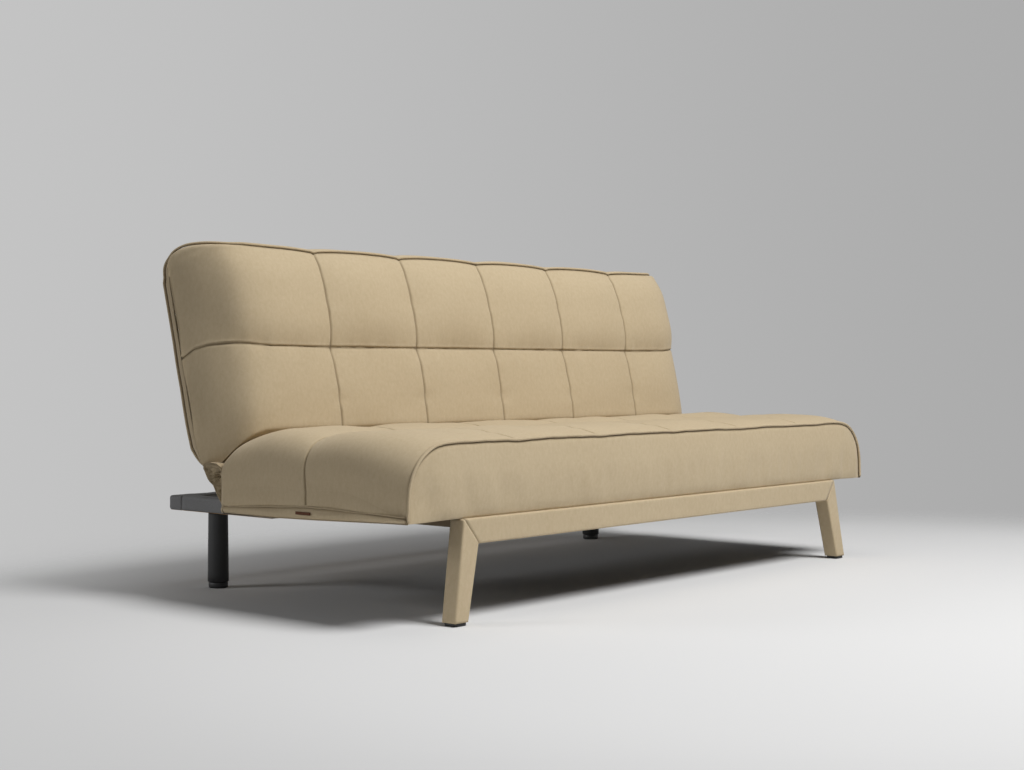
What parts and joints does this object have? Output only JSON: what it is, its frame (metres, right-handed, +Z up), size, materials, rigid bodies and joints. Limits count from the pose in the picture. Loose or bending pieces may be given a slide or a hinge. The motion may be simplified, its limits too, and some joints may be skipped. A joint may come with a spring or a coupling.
{
  "type": "click clack sofa bed",
  "caption": "Armless click clack sofa bed with a quilted cloth seat and back that folds flat, splayed front legs and round rear legs.",
  "frame": {"origin": "on the floor, at the middle of the sofa's footprint with the back upright", "axes": "+X along the sofa to the right of someone who faces its front, -Y the front, +Z up"},
  "size_m": [1.816, 0.9796, 0.8055],
  "materials": {
    "cloth": "matte",
    "felt": "matte",
    "wood": "matte",
    "foam": "matte",
    "black_plastic": "satin",
    "steel": "satin",
    "dust_cloth": "matte",
    "tag": "matte"
  },
  "bodies": {
    "base": {"base_bracket_left": "steel", "base_bracket_right": "steel", "base_cross_front": "wood", "base_cross_rear": "wood", "base_felt_left": "felt", "base_felt_rear": "felt", "base_felt_right": "felt", "base_rail_left": "wood", "base_rail_rear": "wood", "base_rail_right": "wood", "base_slat_left": "wood", "base_slat_right": "wood", "front_glide_left": "black_plastic", "front_glide_right": "black_plastic", "front_leg_cover_left": "cloth", "front_leg_cover_right": "cloth", "front_leg_left": "wood", "front_leg_right": "wood", "front_rail": "wood", "front_rail_cover": "cloth", "gather_left": "cloth", "gather_middle": "cloth", "gather_right": "cloth", "pawl_spring_left": "steel", "pawl_spring_right": "steel", "pivot_bolt_left": "steel", "pivot_bolt_right": "steel", "pivot_nut_left": "steel", "pivot_nut_right": "steel", "rear_foot_left": "black_plastic", "rear_foot_right": "black_plastic", "rear_leg_left": "black_plastic", "rear_leg_right": "black_plastic"},
    "seat": {"seat_arm_left": "steel", "seat_arm_right": "steel", "seat_cover": "cloth", "seat_deck": "wood", "seat_dust_cloth": "dust_cloth", "seat_foam": "foam", "seat_piping": "cloth", "seat_rail_front": "wood", "seat_rail_left": "wood", "seat_rail_rear": "wood", "seat_rail_right": "wood", "seat_tag": "tag"},
    "back": {"back_arm_left": "steel", "back_arm_right": "steel", "back_cover": "cloth", "back_deck": "wood", "back_foam": "foam", "back_panel": "cloth", "back_piping": "cloth", "back_rail_bottom": "wood", "back_rail_left": "wood", "back_rail_right": "wood", "back_rail_top": "wood"},
    "pawl_left": {"pawl_left": "steel"},
    "pawl_right": {"pawl_right": "steel"}
  },
  "joints": [
    {"name": "back_recline", "type": "hinge", "parent": "base", "child": "back", "pos_m": [0, 0.155, 0.3], "axis": [-1, 0, 0], "range_deg": [0, 76], "deforming": ["gather_left", "gather_middle", "gather_right"]},
    {"name": "seat_lift", "type": "hinge", "parent": "base", "child": "seat", "pos_m": [0, 0.155, 0.3], "axis": [-1, 0, 0], "range_deg": [0, 5]},
    {"name": "pawl_left_swing", "type": "hinge", "parent": "base", "child": "pawl_left", "pos_m": [-0.7358, 0.145, 0.25], "axis": [1, 0, 0], "range_deg": [0, 15]},
    {"name": "pawl_right_swing", "type": "hinge", "parent": "base", "child": "pawl_right", "pos_m": [0.7358, 0.145, 0.25], "axis": [1, 0, 0], "range_deg": [0, 15]}
  ],
  "couplings": [
    {"joint": "pawl_left_swing", "follows": "seat_lift", "ratio": 3},
    {"joint": "pawl_right_swing", "follows": "seat_lift", "ratio": 3}
  ]
}
